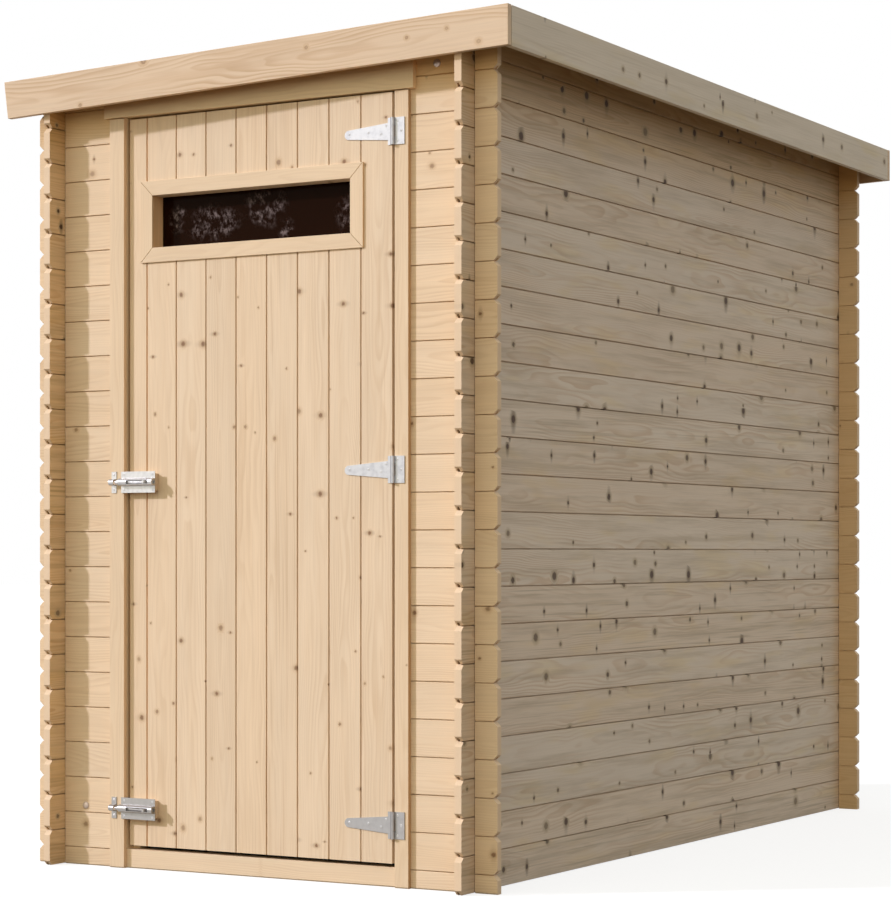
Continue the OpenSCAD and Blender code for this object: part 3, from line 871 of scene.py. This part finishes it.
def door_leaf(context):
    """Nine upright boards, cut out for the window."""
    sizes = context.scene.shed_boards
    low, high = span("door_boards", DOOR)
    trim_low, trim_high = span("window_trim", DOOR)
    inset = Vector((sizes.trim, 0, sizes.trim))
    hole_low = trim_low + inset
    hole_high = trim_high - inset
    piece = Piece("door_leaf_boards", "door", "door", "door_boards")
    thick = high.y - low.y
    tall = high.z - low.z
    right = high.x
    count = math.ceil((high.x - low.x - sizes.door_edge_board) / sizes.door_board) + 1
    for n in range(count):
        cover = sizes.door_board if n else sizes.door_edge_board
        cover = min(cover, right - low.x)
        left = right - cover
        section = tongued(cover, thick, sizes.door_vee, sizes, groove=n > 0, tongue=n < count - 1)
        place = axes(UP, LENGTHWISE, -CROSSWISE, Vector((right, low.y, low.z)))
        over_hole = left < hole_high.x and right > hole_low.x
        parts = [[]]
        if over_hole:
            parts = [[((0, 0, hole_low.z), UP)], [((0, 0, hole_high.z), -UP)]]
            beside = [((0, 0, hole_low.z), -UP), ((0, 0, hole_high.z), UP)]
            if right > hole_high.x:
                parts.append(beside + [(hole_high, -CROSSWISE)])
            if left < hole_low.x:
                parts.append(beside + [(hole_low, CROSSWISE)])
        for cuts in parts:
            board = prism(section, place, tall)
            for point, normal in cuts:
                saw(board, point, normal)
            board.transform(DOOR)
            piece.add(board)
        right = left
    piece.done(context, along=UP)


# ---- fittings ----


def domed_head(place, radius, height):
    """A plain domed bolt head."""
    head = bmesh.new()
    bmesh.ops.create_uvsphere(head, u_segments=24, v_segments=12, radius=radius)
    saw(head, (0, 0, 0), (0, 0, -1))
    bmesh.ops.scale(head, vec=(1, 1, height / radius), verts=head.verts)
    head.transform(place)
    bmesh.ops.recalc_face_normals(head, faces=head.faces)
    return head


def screw_head(place, radius=SCREW_RADIUS):
    """A countersunk head, slightly domed, with a cross recess."""
    head = bmesh.new()
    grid = bmesh.ops.create_grid(head, x_segments=3, y_segments=3, size=0.62 * radius)
    for v in grid["verts"]:
        v.co.x *= 0.42 if abs(v.co.x) < 0.5 * radius else 1.0
        v.co.y *= 0.42 if abs(v.co.y) < 0.5 * radius else 1.0
    slots = [f for f in head.faces if min(map(abs, f.calc_center_median().xy)) < 0.1 * radius]
    edge = rim_of(head)
    ring = bmesh.ops.create_circle(head, cap_ends=False, segments=12, radius=radius)
    turn = Matrix.Rotation(math.radians(45), 3, "Z")
    bmesh.ops.rotate(head, cent=(0, 0, 0), matrix=turn, verts=ring["verts"])
    bmesh.ops.translate(head, vec=(0, 0, -0.14 * radius), verts=ring["verts"])
    outer = list({e for v in ring["verts"] for e in v.link_edges})
    bmesh.ops.bridge_loops(head, edges=edge + outer)
    sunk = bmesh.ops.extrude_face_region(head, geom=slots)
    recess = points_of(sunk)
    bmesh.ops.delete(head, geom=slots, context="FACES_ONLY")
    bmesh.ops.translate(head, vec=(0, 0, -0.3 * radius), verts=recess)
    skirt = bmesh.ops.extrude_edge_only(head, edges=rim_of(head))
    bmesh.ops.translate(head, vec=(0, 0, -0.35 * radius), verts=points_of(skirt))
    bmesh.ops.holes_fill(head, edges=rim_of(head), sides=0)
    head.transform(place)
    bmesh.ops.recalc_face_normals(head, faces=head.faces)
    return head


def facing_out(x, out, z, place=HOUSE):
    """Axes at a point of a front face, with z pointing out of it."""
    return place @ axes(CROSSWISE, UP, -LENGTHWISE, Vector((x, out, z)))


# Screws of a hinge strap, as distance from the pin and height over the strap's middle
STRAP_SCREWS = ((0.020, 0.014), (0.034, -0.005), (0.070, 0.001), (0.1243, 0.001))
# Screws of a hinge leaf, as distance from its outer edge and height over the strap's middle
LEAF_SCREWS = ((0.019, -0.024), (0.0085, 0.0), (0.019, 0.024))


def hinges(context):
    """Finish and screws of the three tee hinges."""
    straps = Piece("hinge_strap_screws", "door", "screw")
    leaves = Piece("hinge_leaf_screws", "shed", "screw")
    proud = STRAP_THICK + 0.0006
    for level in ("bottom", "middle", "top"):
        for part in ("leaf", "strap"):
            show_cad(f"{level}_hinge_{part}", "hinge", context)
        low, high = span(f"{level}_hinge_strap", DOOR)
        middle = 0.5 * (low.z + high.z)
        face = span("door_boards", DOOR)[0].y - proud
        for away, rise in STRAP_SCREWS:
            straps.add(screw_head(facing_out(-away, face, middle + rise, DOOR)))
        edge = span(f"{level}_hinge_leaf")[1].x
        face = span("hinge_casing")[0].y - proud
        for away, rise in LEAF_SCREWS:
            leaves.add(screw_head(facing_out(edge - away, face, middle + rise)))
    straps.done(context)
    leaves.done(context)


def bolts(context):
    """Finish, blocks and screws of the two barrel bolts."""
    plates = Piece("bolt_plate_screws", "door", "screw")
    keeps = Piece("bolt_keep_screws", "shed", "screw")
    proud = PLATE_THICK + 0.0005
    for level in ("lower", "upper"):
        for part in ("bolt_case", "bolt_rod", "keep"):
            show_cad(f"{level}_{part}", "bolt", context)
        planed(f"{level}_bolt_block", "door", "door", context, ease=FINE_EASE)
        low, high = span(f"{level}_bolt_case", DOOR)
        for x in (low.x + 0.010, high.x - 0.008):
            for z in (low.z + 0.007, high.z - 0.007):
                plates.add(screw_head(facing_out(x, high.y - proud, z, DOOR)))
        low, high = span(f"{level}_keep")
        middle = 0.5 * (low.x + high.x)
        face = span("latch_casing")[0].y - proud
        for z in (low.z + 0.008, high.z - 0.008):
            keeps.add(screw_head(facing_out(middle, face, z)))
    plates.done(context)
    keeps.done(context)


def coach_bolts(context):
    """Round heads of the bolts that hold the storm battens, high on the right, low on the left."""
    radius, height = 0.0098, 0.005
    piece = Piece("coach_bolt_heads", "shed", "coach")
    low, high = span("storm_battens")
    front = span("front_wall_left")[0].y
    rear = span("rear_wall")[1].y
    for x, z in ((high.x - 0.0305, 1.962), (low.x + 0.0165, 0.153)):
        piece.add(domed_head(facing_out(x, front, z), radius, height))
        behind = axes(-CROSSWISE, UP, LENGTHWISE, Vector((x, rear, z)))
        piece.add(domed_head(behind, radius, height))
    piece.done(context)


def show_cad(node, finish, context):
    """A CAD node that keeps its shape and gets a finish."""
    mesh = frame["nodes"][node].data
    mesh.materials.clear()
    mesh.materials.append(materials(context)[finish])


# ---- stage ----


def background(g, shader, white):
    """Shows white to the eye, to mirrors and through glass, and the given shader to all else."""
    path = g.node("ShaderNodeLightPath").outputs
    seen = g.math("MAXIMUM", path["Is Camera Ray"], path["Is Glossy Ray"])
    seen = g.math("MAXIMUM", seen, path["Is Transmission Ray"])
    return g.node("ShaderNodeMixShader", enumerate((seen, shader, white))).outputs[0]


def floor_material():
    """Pale floor: white where lit, with a soft trace of the shadow, and dark indoors."""
    g = Graph(bpy.data.materials.new("pale_floor"))
    low, high = span("left_wall")[0], span("right_wall")[1]
    low.y, high.y = span("front_wall_left")[0].y, span("rear_wall")[1].y
    half = 0.5 * (high - low)
    where = g.vector("SUBTRACT", g.here(), tuple(0.5 * (low + high)))
    x, y, _ = g.split(g.vector("ABSOLUTE", where))
    off = g.math("MAXIMUM", g.minus(x, half.x), g.minus(y, half.y))
    grey = g.node("ShaderNodeBsdfDiffuse", [("Color", (0.16, 0.125, 0.085))]).outputs[0]
    soft = g.node("ShaderNodeBsdfDiffuse", [("Color", (0.30, 0.30, 0.30))]).outputs[0]
    strength = g.fade(off, -0.015, -0.005, 0.0, 0.78)
    glow = g.node("ShaderNodeEmission", [("Strength", strength)]).outputs[0]
    both = g.node("ShaderNodeAddShader", enumerate((soft, glow))).outputs[0]
    g.feed(g.output.inputs["Surface"], background(g, grey, both))
    return g.owner


def floor():
    """A wide plain floor at the foot of the walls."""
    bm = bmesh.new()
    bmesh.ops.create_circle(bm, cap_ends=True, segments=64, radius=60.0)
    mesh = bpy.data.meshes.new("floor")
    bm.to_mesh(mesh)
    bm.free()
    mesh.materials.append(floor_material())
    in_scene("floor", mesh)


def sky(context, view):
    """Even light from all round, and a white background."""
    g = Graph(bpy.data.worlds.new("sky"))
    g.shade(Color=(0.99, 1.0, 0.97), Strength=view.fill)
    white = g.node("ShaderNodeBackground", [("Color", (1.0, 1.0, 1.0))]).outputs[0]
    g.feed(g.output.inputs["Surface"], background(g, g.shader.outputs[0], white))
    context.scene.world = g.owner


def sun(view, kind, colour):
    """A distant light from the front left, with the settings of its kind."""
    lamp = bpy.data.lights.new(kind, "SUN")
    lamp.energy = getattr(view, kind)
    lamp.angle = getattr(view, f"{kind}_size")
    lamp.color = colour
    tilt = math.pi / 2 - getattr(view, f"{kind}_height")
    in_scene(kind, lamp).rotation_euler = (tilt, 0, -getattr(view, f"{kind}_side"))


def camera(context, view):
    """The camera, level, with its lens raised to keep the corners upright."""
    data = bpy.data.cameras.new("camera")
    data.lens = view.lens
    data.shift_y = view.rise
    made = in_scene("camera", data)
    forward = Vector((-math.sin(view.turn), math.cos(view.turn), 0))
    right = forward.cross(UP)
    corner = Vector((span("right_wall")[1].x, span("front_wall_right")[0].y, view.eye))
    made.location = corner - view.distance * forward - view.aside * right
    made.rotation_euler = (math.pi / 2, 0, view.turn)
    context.scene.camera = made


# ---- operators ----


class SHED_OT_stage(bpy.types.Operator):
    """Camera, light and floor"""

    bl_idname = "shed.stage"
    bl_label = "Stage"

    def execute(self, context):
        view = context.scene.shed_view
        context.scene.view_settings.view_transform = "Standard"
        camera(context, view)
        sun(view, "sun", (0.97, 0.985, 1.19))
        sun(view, "soft", (1.02, 0.91, 0.57))
        sky(context, view)
        floor()
        return {"FINISHED"}


class SHED_OT_side_walls(bpy.types.Operator):
    """Long walls of interlocking boards"""

    bl_idname = "shed.side_walls"
    bl_label = "Side walls"

    def execute(self, context):
        side_walls(context)
        return {"FINISHED"}


class SHED_OT_end_walls(bpy.types.Operator):
    """Front and rear walls of interlocking boards"""

    bl_idname = "shed.end_walls"
    bl_label = "End walls"

    def execute(self, context):
        end_walls(context)
        return {"FINISHED"}


class SHED_OT_storm_battens(bpy.types.Operator):
    """Battens inside the corners and the bolts through them"""

    bl_idname = "shed.storm_battens"
    bl_label = "Storm battens"

    def execute(self, context):
        planed("storm_battens", "shed", "frame", context)
        coach_bolts(context)
        return {"FINISHED"}


class SHED_OT_roof(bpy.types.Operator):
    """Roof deck, fascias and eave strip"""

    bl_idname = "shed.roof"
    bl_label = "Roof"

    def execute(self, context):
        roof_deck(context)
        for node in ("front_fascia", "rear_fascia", "eave_strip"):
            planed(node, "shed", "fascia", context)
        low, high = span("high_side_fascia")
        gap = Vector((0, context.scene.shed_boards.gap, 0))
        ends = ((low + gap, -LENGTHWISE), (high - gap, LENGTHWISE))
        planed("high_side_fascia", "shed", "eave", context, cuts=ends)
        return {"FINISHED"}


class SHED_OT_doorway(bpy.types.Operator):
    """Casings, lintel, sill, linings and stops"""

    bl_idname = "shed.doorway"
    bl_label = "Doorway"

    def execute(self, context):
        foot = context.scene.shed_boards.foot
        head = Vector((0, 0, span("lintel")[0].z - foot))
        kinds = {"latch_casing": "latch", "hinge_casing": "frame", "sill": "sill"}
        for node, finish in kinds.items():
            low = span(node)[0]
            cuts = (((0, low.y, foot), (0, -1, -1)), (head, UP))
            planed(node, "shed", finish, context, ease=FINE_EASE, cuts=cuts)
        for node in ("lintel", "latch_lining", "hinge_lining", "head_lining", "door_stops"):
            planed(node, "shed", "inner", context, ease=FINE_EASE)
        return {"FINISHED"}


class SHED_OT_door(bpy.types.Operator):
    """Door boards with the ledges and braces behind them"""

    bl_idname = "shed.door"
    bl_label = "Door"

    def execute(self, context):
        door_leaf(context)
        for node in ("door_ledges", "door_braces"):
            planed(node, "door", "door", context)
        return {"FINISHED"}


class SHED_OT_window(bpy.types.Operator):
    """Mitred trim, glazing frame and pane"""

    bl_idname = "shed.window"
    bl_label = "Window"

    def execute(self, context):
        sizes = context.scene.shed_boards
        mitred_frame("window_trim", sizes.trim, "trim", context)
        mitred_frame("glazing_frame", sizes.glazing, "door", context)
        show_cad("window_pane", "glass", context)
        return {"FINISHED"}


class SHED_OT_hinges(bpy.types.Operator):
    """Tee hinges and their screws"""

    bl_idname = "shed.hinges"
    bl_label = "Hinges"

    def execute(self, context):
        hinges(context)
        return {"FINISHED"}


class SHED_OT_bolts(bpy.types.Operator):
    """Barrel bolts, their blocks, keeps and screws"""

    bl_idname = "shed.bolts"
    bl_label = "Bolts"

    def execute(self, context):
        bolts(context)
        return {"FINISHED"}


OPERATORS = (
    SHED_OT_stage, SHED_OT_side_walls, SHED_OT_end_walls, SHED_OT_storm_battens, SHED_OT_roof,
    SHED_OT_doorway, SHED_OT_door, SHED_OT_window, SHED_OT_hinges, SHED_OT_bolts,
)


class SHED_PT_panel(bpy.types.Panel):
    """The shed's pieces and their settings"""

    bl_label = "Garden Shed"
    bl_space_type = "VIEW_3D"
    bl_region_type = "UI"
    bl_category = "Shed"

    def draw(self, context):
        for group in SETTINGS:
            settings = getattr(context.scene, group)
            box = self.layout.box()
            for name in settings.__annotations__:
                box.prop(settings, name)
        for operator in OPERATORS:
            self.layout.operator(operator.bl_idname)


SETTINGS = {"shed_boards": ShedBoards, "shed_finish": ShedFinish, "shed_view": ShedView}
CLASSES = (*SETTINGS.values(), *OPERATORS, SHED_PT_panel)


def register():
    for cls in CLASSES:
        bpy.utils.register_class(cls)
    for name, group in SETTINGS.items():
        setattr(bpy.types.Scene, name, PointerProperty(type=group))


def unregister():
    for name in SETTINGS:
        delattr(bpy.types.Scene, name)
    for cls in reversed(CLASSES):
        bpy.utils.unregister_class(cls)


def main():
    register()
    for operator in OPERATORS:
        group, name = operator.bl_idname.split(".")
        getattr(getattr(bpy.ops, group), name)()


if __name__ == "__main__":
    main()
